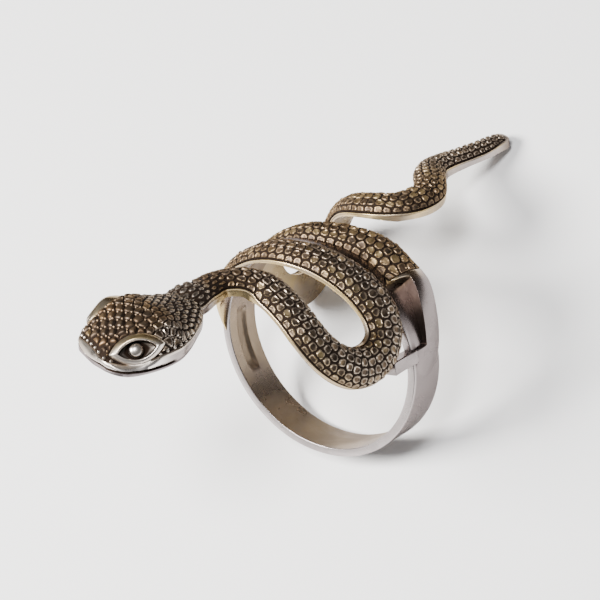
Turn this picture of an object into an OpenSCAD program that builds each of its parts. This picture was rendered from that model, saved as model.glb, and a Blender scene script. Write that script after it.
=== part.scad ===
// Snake ring: one casting in silver. A snake lies over the finger in two arches,
// with its head in front and its tail behind, and a plain band closes the hoop.
// Everything is first placed round the finger: x to the wearer's right, y along the
// finger from the snake's head to its tail, z up through the back of the finger.
// The finished ring is then leaned back onto the three points that it rests on.

/* [Finger] */
// Inner radius of the hoop
finger_r = 9; // [7.5:0.1:11]

/* [Band] */
// Width of the plain band
band_w = 3.3; // [2.5:0.1:4]
// Thickness of the plain band
band_t = 0.7; // [0.6:0.05:1]
// Turn of the band out of square to the finger, in degrees
band_turn = 5; // [0:0.5:8]

/* [Snake] */
// Length of one scale along the body
scale_pitch = 0.85; // [0.7:0.05:1.2]
// Height that each scale stands out of its grooves
scale_relief = 0.14; // [0:0.01:0.2]
// Share of the body's height that its plain upright side takes
side_share = 0.45; // [0.2:0.05:0.6]
// The same share where the body is plain, at the shoulders and the tail's tip
plain_share = 0.8; // [0.5:0.05:0.9]

/* [Head] */
// Length of the almond round each eye
eye_l = 4.3; // [3:0.1:5]
// Height of that almond
eye_h = 2.3; // [1.6:0.1:3]
// Radius of the round pupil
pupil_r = 0.5; // [0.3:0.05:0.7]
// Turn of the head to the wearer's left, in degrees
head_turn = 21; // [0:1:30]

/* [Joins] */
// Width of the plate between the two arches
saddle_w = 3.6; // [2:0.1:5]
// Thickness of that plate outside the finger
saddle_t = 0.5; // [0.3:0.05:0.8]
// Width of the block that ties the right loop to the band
bridge_w = 1.1; // [0.8:0.1:2]
// Depth of the channel in the right shoulder
channel_deep = 0.9; // [0.3:0.1:1.4]

/* [Rest] */
// Lean of the ring back onto its tail, in degrees
lean_back = 37.53; // [36:0.01:39]
// Lean of the ring onto its left rear loop, in degrees
lean_left = 10.52; // [10:0.01:12]
// Height of the finger's centre above the surface
rest_h = 8.63; // [7:0.01:10]
// Shift that centres the ring over its footprint, across
centre_x = 0.38; // [-5:0.01:5]
// The same shift, along
centre_y = -5.27; // [-7:0.01:5]

/* [Hidden] */
$fn = 96;
silver = [0.75, 0.73, 0.69];

// Middle of the head, and from there the right eye's middle, across, along and up, with
// its turn towards the snout and its tilt down from facing straight up
head_middle = [-1.4, -23.8, 0];
eye_place = [3.5, 0.43, 10.1];
eye_yaw = 25;
eye_tilt = 55;

// Angles round the finger that the plate takes, and that of the block
saddle_from = 62;
saddle_to = 138;
bridge_at = 14;

// Depth that the plate and the block reach into the finger's hole before it is cut
sunk = 0.2;

// Columns of the body's tables. Each row is one section: the angle round the finger,
// the place along it, the radius of the flat underside, the section's width and
// height, and how much of the scales' relief it has.
ANGLE = 0;
ALONG = 1;
UNDER = 2;
WIDE = 3;
TALL = 4;
SCALED = 5;

// The head's table has the middle of each section's underside, across, along and up,
// the section's width and height, and how far it is turned to the wearer's left.
TURN = 5;
head_rows = [
    [-2.35, -26.25, 8.80, 2.2, 1.0, 21],
    [-2.25, -26.0, 8.45, 4.2, 1.7, 21],
    [-2.0, -25.35, 8.05, 6.5, 2.4, 21],
    [-1.7, -24.6, 7.8, 8.0, 2.9, 21],
    [-1.3, -23.6, 7.7, 9.3, 3.3, 19],
    [-0.95, -22.5, 7.7, 9.9, 3.5, 15],
    [-0.6, -21.3, 7.8, 9.4, 3.5, 9],
    [-0.4, -20.2, 8.0, 8.2, 3.4, 4],
    [-0.35, -19.0, 8.4, 6.5, 3.0, 0],
    [-0.45, -17.6, 8.8, 4.8, 2.5, -3],
    [-0.75, -15.8, 9.6, 2.3, 1.0, -5]
];

// From the nape over the finger, round the right loop and back as the front arch
front_rows = [
    [93, -17.6, 9.3, 3.1, 1.6, 0],
    [95, -16.0, 9.3, 3.6, 1.95, 1],
    [96, -14.2, 9.3, 3.0, 1.75, 1],
    [96, -12.4, 9.3, 2.8, 1.7, 1],
    [90, -10.8, 9.2, 2.9, 1.75, 1],
    [82, -10.0, 8.8, 3.1, 2.0, 1],
    [72, -9.9, 8.6, 3.2, 2.0, 1],
    [60, -10.1, 8.6, 3.2, 2.0, 1],
    [48, -10.2, 8.6, 3.2, 2.0, 1],
    [37, -9.7, 8.6, 3.2, 2.0, 1],
    [28, -8.5, 8.6, 3.2, 2.0, 1],
    [22, -6.7, 8.6, 3.3, 2.0, 1],
    [22, -4.8, 8.6, 3.3, 2.0, 1],
    [28, -3.2, 8.6, 3.3, 2.0, 1],
    [39, -2.4, 8.6, 3.5, 2.0, 1],
    [52, -2.4, 8.6, 3.6, 2.0, 1],
    [66, -2.8, 8.6, 3.5, 2.0, 1],
    [80, -3.3, 8.6, 3.3, 2.0, 1],
    [94, -3.7, 8.6, 3.2, 1.9, 1],
    [108, -3.8, 8.6, 3.2, 1.8, 1],
    [122, -3.7, 8.6, 3.1, 1.6, 1],
    [136, -3.3, 8.6, 3.1, 1.6, 1],
    [150, -2.8, 8.6, 3.1, 1.6, 1],
    [165, -2.1, 8.6, 3.0, 1.45, 0],
    [180, -1.4, 8.6, 2.7, 1.15, 0],
    [192, -0.9, 8.6, 2.4, 0.8, 0]
];

// From the right shoulder as the rear arch, round the left loop and out to the tip
rear_rows = [
    [-8, 0.9, 8.6, 2.3, 0.75, 0],
    [4, 0.9, 8.6, 2.7, 1.2, 0],
    [20, 1.1, 8.6, 3.3, 1.6, 0],
    [32, 1.3, 8.6, 3.4, 2.0, 0],
    [44, 1.7, 8.6, 3.5, 2.25, 0],
    [56, 1.9, 8.6, 3.6, 2.25, 1],
    [68, 1.8, 8.6, 3.6, 2.2, 1],
    [80, 1.3, 8.6, 3.4, 2.1, 1],
    [92, 0.8, 8.6, 3.2, 2.0, 1],
    [104, 0.5, 8.6, 3.1, 1.9, 1],
    [117, 0.5, 8.6, 3.0, 1.7, 1],
    [131, 0.7, 8.6, 3.0, 1.6, 1],
    [146, 1.3, 8.6, 3.0, 1.6, 1],
    [161, 2.3, 8.6, 3.0, 1.7, 1],
    [174, 3.7, 8.6, 3.1, 1.9, 1],
    [182, 5.5, 8.6, 3.1, 1.9, 1],
    [184, 7.6, 8.6, 3.1, 1.9, 1],
    [179, 9.6, 8.6, 3.1, 1.9, 1],
    [168, 10.8, 8.6, 3.1, 1.8, 1],
    [155, 11.0, 8.6, 3.1, 1.8, 1],
    [141, 10.4, 8.6, 3.1, 1.8, 1],
    [127, 9.3, 8.6, 3.1, 1.8, 1],
    [114, 8.3, 8.6, 3.2, 1.9, 1],
    [103, 7.8, 8.6, 3.2, 2.0, 1],
    [94, 8.0, 8.7, 3.2, 2.05, 1],
    [87, 8.9, 9.1, 3.1, 1.7, 1],
    [84, 10.4, 9.2, 3.0, 1.8, 1],
    [85, 12.0, 9.2, 2.9, 1.8, 1],
    [90, 13.4, 9.2, 2.8, 1.8, 1],
    [97, 14.8, 9.2, 2.8, 1.8, 1],
    [102, 16.3, 9.2, 2.8, 1.8, 1],
    [103, 18.0, 9.2, 2.8, 1.7, 1],
    [102, 20.0, 9.2, 2.6, 1.5, 1],
    [99, 22.2, 9.3, 2.3, 1.4, 1],
    [97, 24.3, 9.4, 1.9, 1.3, 0.5],
    [95, 25.7, 9.5, 1.3, 1.0, 0]
];

function unit(v) = v / norm(v);
function under_point(row) =
    [row[UNDER] * cos(row[ANGLE]), row[ALONG], row[UNDER] * sin(row[ANGLE])];

// Smooth curve through the rows: between row i and the next one, at share t of the way
function row_between(rows, i, t) =
    let(
        last = len(rows) - 1,
        b = rows[i],
        c = rows[i + 1],
        a = i > 0 ? rows[i - 1] : 2 * b - c,
        d = i + 2 <= last ? rows[i + 2] : 2 * c - b
    )
    0.5 * (2 * b + (c - a) * t + (2 * a - 5 * b + 4 * c - d) * t * t
        + (3 * b - a - 3 * c + d) * t * t * t);

// Sections at every half scale, an even number of them from each row to the next
function spine(rows, pitch) = [
    for (i = [0:len(rows) - 2])
        let(
            way = norm(under_point(rows[i + 1]) - under_point(rows[i])),
            steps = 2 * max(1, round(way / pitch))
        )
        for (k = [0:steps - 1]) row_between(rows, i, k / steps),
    rows[len(rows) - 1]
];

// Direction of the body at each section, and the way up out of the finger
function heading(line, i) =
    unit(under_point(line[min(i + 1, len(line) - 1)]) - under_point(line[max(i - 1, 0)]));
function upward(row, ahead) =
    let(out = [cos(row[ANGLE]), 0, sin(row[ANGLE])])
    unit(out - (out * ahead) * ahead);

// Outline of a body section as [across, up] points: a flat underside, an upright side
// and a dome, on which every second point is raised into a scale
function body_outline(row, i, across) =
    let(
        half = row[WIDE] / 2,
        share = plain_share + (side_share - plain_share) * row[SCALED],
        side = share * row[TALL],
        dome = row[TALL] - side
    )
    concat(
        [[-half, 0]],
        [for (j = [0:across])
            let(
                a = 180 * j / across,
                inner = j > 0 && j < across,
                groove = inner ? scale_relief * row[SCALED] : 0,
                lift = (i + j) % 2 == 0 ? groove : 0,
                p = [-(half - groove) * cos(a), side + (dome - groove) * sin(a)]
            )
            p + lift * [-cos(a), sin(a)]],
        [[half, 0]]
    );

// Outline of a head section: the lower jaw, the mouth line, the lip, and a broad crown
function head_outline(row, i, across) =
    let(
        half = row[WIDE] / 2,
        tall = row[TALL],
        lip = 0.4 * tall,
        crown = tall - lip,
        scaled = row[WIDE] > 5 ? 1 : 0
    )
    concat(
        [[-0.86 * half, 0], [-0.97 * half, 0.12 * tall], [-0.9 * half, 0.2 * tall]],
        [for (j = [0:across])
            let(
                a = 180 * j / across,
                inner = j > 0 && j < across,
                groove = inner ? scale_relief * scaled : 0,
                lift = (i + j) % 2 == 0 ? groove : 0,
                p = [-(half - groove) * cos(a), lip + (crown - groove) * pow(sin(a), 0.8)]
            )
            p + lift * [-cos(a), sin(a)]],
        [[0.9 * half, 0.2 * tall], [0.97 * half, 0.12 * tall], [0.86 * half, 0]]
    );

// Points of one section in space
function placed(line, i, outline) =
    let(
        ahead = heading(line, i),
        up = upward(line[i], ahead),
        side = cross(ahead, up),
        from = under_point(line[i])
    )
    [for (p = outline) from + p[0] * side + p[1] * up];

// Closed skin over rings of n points each, the points of all rings in one list. Each
// wall panel is split along its low diagonal, so a raised point makes a pyramid.
module skin(points, n) {
    rings = len(points) / n;
    walls = [
        for (i = [0:rings - 2], j = [0:n - 1])
            let(a = i * n + j, b = i * n + (j + 1) % n)
            for (face = (i + j) % 2 == 0
                ? [[a, b + n, b], [a, a + n, b + n]]
                : [[a, a + n, b], [a + n, b + n, b]]) face
    ];
    first = [for (j = [1:n - 2]) [0, j, j + 1]];
    start = (rings - 1) * n;
    last = [for (j = [1:n - 2]) [start, start + j + 1, start + j]];
    polyhedron(points, concat(walls, first, last));
}

module body(rows) {
    across = 10;
    line = spine(rows, scale_pitch);
    points = [
        for (i = [0:len(line) - 1])
            for (p = placed(line, i, body_outline(line[i], i, across))) p
    ];
    skin(points, across + 3);
}

module head() {
    across = 16;
    line = [
        for (i = [0:len(head_rows) - 2])
            let(
                way = norm([for (k = [0, 1]) head_rows[i + 1][k] - head_rows[i][k]]),
                steps = 2 * max(1, round(way / scale_pitch))
            )
            for (k = [0:steps - 1]) row_between(head_rows, i, k / steps),
        head_rows[len(head_rows) - 1]
    ];
    points = [
        for (i = [0:len(line) - 1])
            let(row = line[i], turn = row[TURN])
            for (p = head_outline(row, i, across))
                [row[0], row[1], row[2]] + p[0] * [cos(turn), -sin(turn), 0] + p[1] * [0, 0, 1]
    ];
    skin(points, across + 7);
}

// Almond-shaped block that ends a distance out and reaches its depth back from there
module almond(length, width, depth, out) {
    r = (length * length + width * width) / (4 * width);
    translate([0, 0, out - depth])
        intersection_for (way = [-1, 1])
            translate([way * (r - width / 2), 0, 0]) cylinder(h = depth, r = r);
}

// Puts its children at one eye, facing out of the head: the right eye, or its mirror image
module at_eye(way) {
    translate(head_middle) rotate([0, 0, -head_turn]) mirror([way < 0 ? 1 : 0, 0, 0])
        translate(eye_place) rotate([0, 0, -eye_yaw]) rotate([0, eye_tilt, 0]) children();
}

module head_with_eyes() {
    difference() {
        union() {
            head();
            for (way = [-1, 1]) at_eye(way) almond(eye_l, eye_h, 1.8, 0.15);
        }
        // The space in front of each eye, and the hollow round its pupil
        for (way = [-1, 1]) at_eye(way) {
            almond(1.1 * eye_l, 1.1 * eye_h, 2, 2.15);
            almond(0.7 * eye_l, 0.62 * eye_h, 0.6, 0.4);
        }
    }
    for (way = [-1, 1]) at_eye(way) translate([0, 0, -0.15]) sphere(r = pupil_r);
}

module along_finger(length, r) {
    rotate([90, 0, 0]) cylinder(h = length, r = r, center = true);
}

module band() {
    outer = finger_r + band_t;
    intersection() {
        along_finger(4 * band_w, outer);
        rotate([0, 0, band_turn]) cube([4 * outer, band_w, 4 * outer], center = true);
    }
}

// Plate that joins the two arches under the groove between them
module saddle() {
    rotate([0, -saddle_from, 0]) rotate([90, 0, 0])
        rotate_extrude(angle = saddle_to - saddle_from)
            translate([finger_r - sunk, 0]) square([saddle_t + sunk, saddle_w]);
}

// Block that ties the right loop to the band
module bridge() {
    tall = 1.25;
    from = -3.6;
    to = -0.6;
    rotate([0, -bridge_at, 0])
        translate([finger_r - sunk, from, -bridge_w / 2]) cube([tall + sunk, to - from, bridge_w]);
}

// Channel in the front side of the right shoulder, from above the bridge to the scales
module channel() {
    floor_up = 0.7;
    roof_share = 0.72;
    clear = 0.12;
    line = [
        for (i = [2:4], k = [0:3])
            let(row = row_between(rear_rows, i, (k + 0.5) / 4))
            if (row[ANGLE] < 50) row
    ];
    points = [
        for (i = [0:len(line) - 1])
            let(
                near = -line[i][WIDE] / 2 - clear,
                far = channel_deep - line[i][WIDE] / 2,
                roof = roof_share * line[i][TALL]
            )
            for (p = placed(line, i, [[near, floor_up], [near, roof], [far, roof], [far, floor_up]])) p
    ];
    skin(points, 4);
}

module bore() {
    along_finger(80, finger_r);
}

module ring_upright() {
    difference() {
        union() {
            head_with_eyes();
            body(front_rows);
            body(rear_rows);
            band();
            saddle();
            bridge();
        }
        bore();
        channel();
    }
}

module snake_ring() {
    color(silver)
        translate([centre_x, centre_y, rest_h])
            rotate([-lean_back, 0, 0]) rotate([0, -lean_left, 0])
                ring_upright();
}

snake_ring();
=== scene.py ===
"""A silver snake ring: its looks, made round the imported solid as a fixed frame."""

import math

import bpy
import numpy as np
from bpy.props import FloatProperty, FloatVectorProperty, PointerProperty
from mathutils import Matrix, Vector
from mathutils.kdtree import KDTree


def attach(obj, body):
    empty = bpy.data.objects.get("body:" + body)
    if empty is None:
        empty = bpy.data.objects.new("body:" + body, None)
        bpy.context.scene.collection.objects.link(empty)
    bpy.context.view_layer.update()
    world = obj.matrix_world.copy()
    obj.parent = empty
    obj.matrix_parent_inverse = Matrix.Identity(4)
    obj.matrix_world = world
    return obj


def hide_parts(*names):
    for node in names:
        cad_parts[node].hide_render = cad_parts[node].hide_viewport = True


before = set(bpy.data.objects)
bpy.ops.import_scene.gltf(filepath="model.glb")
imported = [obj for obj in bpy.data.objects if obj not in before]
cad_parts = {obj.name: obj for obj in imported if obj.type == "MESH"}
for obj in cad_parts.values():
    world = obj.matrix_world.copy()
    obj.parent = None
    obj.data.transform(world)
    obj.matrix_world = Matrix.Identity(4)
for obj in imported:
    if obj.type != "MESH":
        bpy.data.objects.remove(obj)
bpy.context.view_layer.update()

bl_info = {
    "name": "Snake Ring",
    "version": (1, 0, 0),
    "blender": (4, 5, 0),
    "location": "View3D > Sidebar > Snake Ring",
    "description": "Builds a cast silver snake ring, piece by piece, and a studio stage round it",
    "category": "Add Mesh",
}

# The tables are in millimetres and degrees, round the finger: x to the wearer's right,
# y along the finger from the head to the tail, z up through the back of the finger.
# Columns of the body's tables: angle round the finger, place along it, radius of the
# underside, width, height, and how far the section is scaled.
ANGLE, ALONG = 0, 1

FRONT_ROWS = (
    (93, -17.6, 9.3, 3.1, 1.6, 1),
    (95, -16.0, 9.3, 3.6, 1.95, 1),
    (96, -14.2, 9.3, 3.0, 1.75, 1),
    (96, -12.4, 9.3, 2.8, 1.7, 1),
    (90, -10.8, 9.2, 2.9, 1.75, 1),
    (82, -10.0, 8.8, 3.1, 2.0, 1),
    (72, -9.9, 8.6, 3.2, 2.0, 1),
    (60, -10.1, 8.6, 3.2, 2.0, 1),
    (48, -10.2, 8.6, 3.2, 2.0, 1),
    (37, -9.7, 8.6, 3.2, 2.0, 1),
    (28, -8.5, 8.6, 3.2, 2.0, 1),
    (22, -6.7, 8.6, 3.3, 2.0, 1),
    (22, -4.8, 8.6, 3.3, 2.0, 1),
    (28, -3.2, 8.6, 3.3, 2.0, 1),
    (39, -2.4, 8.6, 3.5, 2.0, 1),
    (52, -2.4, 8.6, 3.6, 2.0, 1),
    (66, -2.8, 8.6, 3.5, 2.0, 1),
    (80, -3.3, 8.6, 3.3, 2.0, 1),
    (94, -3.7, 8.6, 3.2, 1.9, 1),
    (108, -3.8, 8.6, 3.2, 1.8, 1),
    (122, -3.7, 8.6, 3.1, 1.6, 1),
    (136, -3.3, 8.6, 3.1, 1.6, 1),
    (150, -2.8, 8.6, 3.1, 1.6, 1),
    (165, -2.1, 8.6, 3.0, 1.45, 0),
    (180, -1.4, 8.6, 2.7, 1.15, 0),
    (192, -0.9, 8.6, 2.4, 0.8, 0),
)

REAR_ROWS = (
    (-8, 0.9, 8.6, 2.3, 0.75, 0),
    (4, 0.9, 8.6, 2.7, 1.2, 0),
    (20, 1.1, 8.6, 3.3, 1.6, 0),
    (32, 1.3, 8.6, 3.4, 2.0, 0),
    (44, 1.7, 8.6, 3.5, 2.25, 0),
    (56, 1.9, 8.6, 3.6, 2.25, 1),
    (68, 1.8, 8.6, 3.6, 2.2, 1),
    (80, 1.3, 8.6, 3.4, 2.1, 1),
    (92, 0.8, 8.6, 3.2, 2.0, 1),
    (104, 0.5, 8.6, 3.1, 1.9, 1),
    (117, 0.5, 8.6, 3.0, 1.7, 1),
    (131, 0.7, 8.6, 3.0, 1.6, 1),
    (146, 1.3, 8.6, 3.0, 1.6, 1),
    (161, 2.3, 8.6, 3.0, 1.7, 1),
    (174, 3.7, 8.6, 3.1, 1.9, 1),
    (182, 5.5, 8.6, 3.1, 1.9, 1),
    (184, 7.6, 8.6, 3.1, 1.9, 1),
    (179, 9.6, 8.6, 3.1, 1.9, 1),
    (168, 10.8, 8.6, 3.1, 1.8, 1),
    (155, 11.0, 8.6, 3.1, 1.8, 1),
    (141, 10.4, 8.6, 3.1, 1.8, 1),
    (127, 9.3, 8.6, 3.1, 1.8, 1),
    (114, 8.3, 8.6, 3.2, 1.9, 1),
    (103, 7.8, 8.6, 3.2, 2.0, 1),
    (94, 8.0, 8.7, 3.2, 2.05, 1),
    (87, 8.9, 9.1, 3.1, 1.7, 1),
    (84, 10.4, 9.2, 3.0, 1.8, 1),
    (85, 12.0, 9.2, 2.9, 1.8, 1),
    (90, 13.4, 9.2, 2.8, 1.8, 1),
    (97, 14.8, 9.2, 2.8, 1.8, 1),
    (102, 16.3, 9.2, 2.8, 1.8, 1),
    (103, 18.0, 9.2, 2.8, 1.7, 1),
    (102, 20.0, 9.2, 2.6, 1.5, 1),
    (99, 22.2, 9.3, 2.3, 1.4, 1),
    (97, 24.3, 9.4, 1.9, 1.3, 0.5),
    (95, 25.7, 9.5, 1.3, 1.0, 0),
)

# Columns of the head's table: middle of the underside across, along and up, width,
# height, and turn to the wearer's left.
HEAD_ROWS = (
    (-1.38, -26.37, 8.68, 3.95, 1.20, 21),
    (-1.16, -26.22, 8.60, 4.9, 1.61, 21),
    (-0.93, -25.77, 8.54, 6.1, 2.13, 21),
    (-0.82, -24.94, 8.53, 7.4, 2.60, 21),
    (-0.90, -23.75, 8.56, 8.9, 3.07, 19),
    (-0.75, -22.5, 8.60, 9.45, 3.35, 15),
    (-0.57, -21.3, 8.68, 9.2, 3.3, 9),
    (-0.40, -20.2, 8.84, 8.0, 2.9, 4),
    (-0.34, -19.0, 9.02, 6.5, 2.45, 0),
    (-0.42, -17.6, 9.15, 4.9, 2.0, -3),
    (-0.75, -15.8, 9.6, 2.3, 1.0, -5),
)

# Columns along the head: way from the snout, height of the mouth line as a share of the
# head's height, height where the crown starts as another, width of the plain lip above
# that, and depth of the mouth line.
LIP_ROWS = np.array((
    (0.0, 0.60, 0.70, 0.24, 1.0),
    (0.4, 0.38, 0.49, 0.38, 1.0),
    (0.8, 0.30, 0.42, 0.42, 1.0),
    (1.2, 0.245, 0.375, 0.40, 1.0),
    (1.6, 0.21, 0.325, 0.40, 1.0),
    (1.85, 0.19, 0.31, 0.42, 1.0),
    (2.15, 0.185, 0.31, 0.62, 1.0),
    (2.6, 0.16, 0.30, 0.64, 1.0),
    (3.2, 0.14, 0.30, 0.55, 1.0),
    (3.55, 0.135, 0.30, 0.24, 1.0),
    (4.5, 0.125, 0.30, 0.25, 0.9),
    (4.95, 0.125, 0.30, 0.26, 0.6),
    (5.3, 0.125, 0.30, 0.24, 0.0),
    (6.5, 0.13, 0.30, 0.12, 0.0),
    (11.0, 0.13, 0.30, 0.06, 0.0),
))

# Columns up the body's plain sides: share of their height, how far the side stands
# proud, how raised it counts for the oxide and for painted shade, and its gold tint. A dark
# groove runs along the scales' edge, with a thin golden ridge below it and a thin painted
# shadow under the ridge.
LEDGE = np.array((
    (0.00, 0.0, 1.0, 0.0),
    (0.16, 0.0, 1.0, 0.0),
    (0.32, 0.0, 1.0, 0.0),
    (0.46, 0.0, 1.0, 0.0),
    (0.56, 0.0, 1.0, 0.0),
    (0.63, -0.005, 0.95, 0.2),
    (0.68, -0.020, 0.55, 0.5),
    (0.72, -0.015, 0.60, 0.8),
    (0.76, 0.020, 1.0, 1.0),
    (0.80, 0.030, 1.0, 1.0),
    (0.84, 0.020, 1.0, 0.8),
    (0.88, -0.020, 0.3, 0.3),
    (0.91, -0.050, 0.0, 0.0),
    (0.94, -0.060, 0.0, 0.0),
    (0.97, -0.050, 0.0, 0.0),
))

# The eyes: middle and turns of the right one in the head's own frame, how far the left one
# is from its mirror, how much higher each lid stands, and the pupil's place in the hollow
HEAD_TURN, HEAD_MIDDLE = 21, (-1.4, -23.8, 0.0)
EYE_PLACE, LEFT_EYE_SHIFT = (3.91, 0.24, 10.42), (0.95, 0.49, -0.25)
EYE_YAW, EYE_TILT, EYE_ROLL = -25, 55, 11
LID_STANDS = {1: 0.32, -1: 0.62}
PUPIL_PLACE = np.array([0.06, -0.1])

# The body's section: height of the sides as a share, where they are plain and where
# scales lie above them, and the points of each part of the outline
PLAIN_SHARE, SIDE_SHARE = 0.8, 0.45
UNDER_POINTS, DOME_POINTS = 6, 68
RIGHT_SIDE = slice(UNDER_POINTS, UNDER_POINTS + len(LEDGE))
DOME = slice(RIGHT_SIDE.stop, RIGHT_SIDE.stop + DOME_POINTS)
LEFT_SIDE = slice(DOME.stop, DOME.stop + len(LEDGE))

# The head's section: points of the underside, of each jaw and of the crown
BELOW_POINTS, JAW_POINTS, CROWN_POINTS = 14, 16, 220
CROWN = slice(BELOW_POINTS + JAW_POINTS, BELOW_POINTS + JAW_POINTS + CROWN_POINTS)
HEAD_STEP, HEAD_RELIEF = 0.05, 0.22

# How far the cast parts stay outside the finger's hole
CLEARANCE = 0.03

# How the solid was leaned and set down on the surface
LEAN_BACK, LEAN_LEFT = 37.53, 10.52
SHIFT = (0.38, -5.27, 8.63)

# The photo's camera, fitted to the ring: angles round the finger's frame, distance and
# offsets in millimetres, and focal length in pixels of the 600 pixel frame
VIEW_TURN, VIEW_RISE = 40.589, 27.0
VIEW_FAR, VIEW_RIGHT, VIEW_UP = 200.0, -2.428, 3.611
FOCAL_PIXELS, FRAME_PIXELS, SENSOR_MM = 2393.58, 600, 36.0

# Polished finishes: tone of the silver, roughness, tarnish and gold tint
FINISHES = {
    "Polished silver sides": ((0.80, 0.77, 0.785), 0.22, 0.5, 0.0),
    # The lips' high tone is a painted highlight
    "Silver lips with painted highlight": ((1.6, 1.58, 1.52), 0.2, 0.3, 0.0),
    # The jaw's low tone is painted shade
    "Silver jaw with painted shade": ((0.46, 0.43, 0.45), 0.34, 0.5, 0.0),
    "Polished silver eyes": ((1.15, 1.12, 1.06), 0.2, 0.3, 0.1),
    "Polished silver band": ((0.84, 0.81, 0.825), 0.2, 0.45, 0.0),
    # The inside's low tone is painted shade, on top of its tarnish
    "Tarnished silver inside with painted shade": ((0.58, 0.53, 0.48), 0.26, 0.6, 0.2),
    "Dark silver groove": ((0.32, 0.27, 0.22), 0.4, 0.7, 0.2),
}
SPECK_COLOUR = (0.11, 0.08, 0.06)
DARK_PAD, CLOUDED_PAD = (0.075, 0.056, 0.042), (0.075, 0.05, 0.036)
RIM, GILT_RIM, BROWN_RIM = (0.56, 0.50, 0.44), (0.50, 0.36, 0.17), (0.28, 0.17, 0.085)

MM = 0.001
BODY = "root"
NODE = "snake_ring"


def length_prop(name, description, default):
    return FloatProperty(name=name, description=description, default=default,
                         unit="LENGTH", subtype="DISTANCE")


def colour_prop(name, description, default):
    return FloatVectorProperty(name=name, description=description, default=default,
                               subtype="COLOR", min=0, max=1)


class SnakeRingSizes(bpy.types.PropertyGroup):
    """Sizes of the ring that its maker would change"""

    finger: length_prop("Finger radius", "Inner radius of the hoop", 0.009)
    band_width: length_prop("Band width", "Width of the plain band", 0.0033)
    band_thickness: length_prop("Band thickness", "Thickness of the plain band", 0.0007)
    band_turn: FloatProperty(
        name="Band turn", description="Turn of the band out of square to the finger",
        default=math.radians(5), unit="ROTATION", subtype="ANGLE")
    relief: length_prop("Scale relief", "Height of a scale's rim over the groove round it", 0.00017)
    eye_length: length_prop("Eye length", "Length of the almond rim of each eye", 0.0043)
    eye_height: length_prop("Eye height", "Height of the almond rim of each eye", 0.0023)
    pupil: length_prop("Pupil radius", "Radius of the round pupil", 0.00056)


class SnakeRingFinish(bpy.types.PropertyGroup):
    """Colours of the silver"""

    bright: colour_prop("Polished silver", "Colour of the polished faces", (0.52, 0.485, 0.47))
    oxide: colour_prop("Oxide", "Colour of the darkened grooves", (0.016, 0.010, 0.007))
    # Dull silver darkens the band, the body's low and right sides, the shoulder, the lip behind the
    # eye, the bridge and the tail's tip; on the band, the sides, the shoulder and the lip it is
    # painted shade
    dull: colour_prop("Dull silver", "Colour of faces that were polished less", (0.14, 0.118, 0.115))
    pad: colour_prop("Scale", "Colour of the middle of a scale", (0.175, 0.138, 0.10))
    # Brown is partly patina and partly a painted reflection of the dark brown surroundings on the
    # upper side
    brown: colour_prop("Brown patina", "Warm patina on the upper side", (0.17, 0.10, 0.05))
    gold: colour_prop("Gold tint", "Yellow tint of thin oxide", (0.55, 0.41, 0.20))
    floor: colour_prop("Floor", "Colour of the floor", (0.93, 0.93, 0.94))


def sizes():
    return bpy.context.scene.snake_ring_sizes


def finish_colours():
    return bpy.context.scene.snake_ring_finish


# Curves, sections and places


def unit(v):
    return v / np.maximum(np.linalg.norm(v, axis=-1, keepdims=True), 1e-12)


def smooth(x, low, high):
    """Eases from 0 at low to 1 at high."""
    t = np.clip((x - low) / (high - low), 0, 1)
    return t * t * (3 - 2 * t)


def through_rows(rows):
    """Smooth curve that passes through every row."""
    rows, per_gap = np.array(rows, float), 24
    line = []
    for i in range(len(rows) - 1):
        b, c = rows[i], rows[i + 1]
        a = rows[i - 1] if i else 2 * b - c
        d = rows[i + 2] if i + 2 < len(rows) else 2 * c - b
        t = np.linspace(0, 1, per_gap, endpoint=False)[:, None]
        line.append(0.5 * (2 * b + (c - a) * t + (2 * a - 5 * b + 4 * c - d) * t ** 2
                           + (3 * b - a - 3 * c + d) * t ** 3))
    line.append(rows[-1:])
    return np.concatenate(line)


def gone_by(points):
    """Way gone at each point of one or more lines of points."""
    steps = np.linalg.norm(np.diff(points, axis=-2), axis=-1)
    return np.concatenate([0 * steps[..., :1], np.cumsum(steps, -1)], -1)


def evenly(values, points, step):
    """The values again, at even steps along the points they belong to."""
    way = gone_by(points)
    n = max(8, int(round(way[-1] / step)))
    at = np.linspace(0, way[-1], n + 1)
    return np.stack([np.interp(at, way, column) for column in values.T], 1), at


def on_finger(angle, along, radius):
    """Points at angles in degrees round the finger, places along it and radii."""
    a = np.radians(angle)
    return np.stack([radius * np.cos(a), along, radius * np.sin(a)], -1)


def rotation(axis, degrees):
    """Matrix of a turn about x, y or z, with axis 0, 1 or 2."""
    c, s = math.cos(math.radians(degrees)), math.sin(math.radians(degrees))
    i, j = (axis + 1) % 3, (axis + 2) % 3
    matrix = np.eye(3)
    matrix[i, i] = matrix[j, j] = c
    matrix[i, j], matrix[j, i] = -s, s
    return matrix


REST = rotation(0, -LEAN_BACK) @ rotation(1, -LEAN_LEFT)


def at_rest(points):
    """Points round the finger, in millimetres, as places in the row frame, in metres."""
    return (points @ REST.T + np.array(SHIFT)) * MM


def clear_of_finger(points, radius):
    """The points, with those inside the finger's hole moved out onto its wall."""
    r = np.hypot(points[..., 0], points[..., 2])
    grow = np.maximum(r, radius) / np.maximum(r, 1e-6)
    return points * np.stack([grow, np.ones_like(grow), grow], -1)


def grid_normals(points):
    """Outward normals of a grid of points, rings first, the second index going round."""
    across = np.roll(points, -1, 1) - np.roll(points, 1, 1)
    return unit(np.cross(np.gradient(points, axis=0), across))


def with_middles(values, around):
    """A tube's values with the mean of its first and of its last ring behind them."""
    ends = [values[part].mean(0, keepdims=True) for part in (slice(around), slice(-around, None))]
    return np.concatenate([values, *ends])


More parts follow.
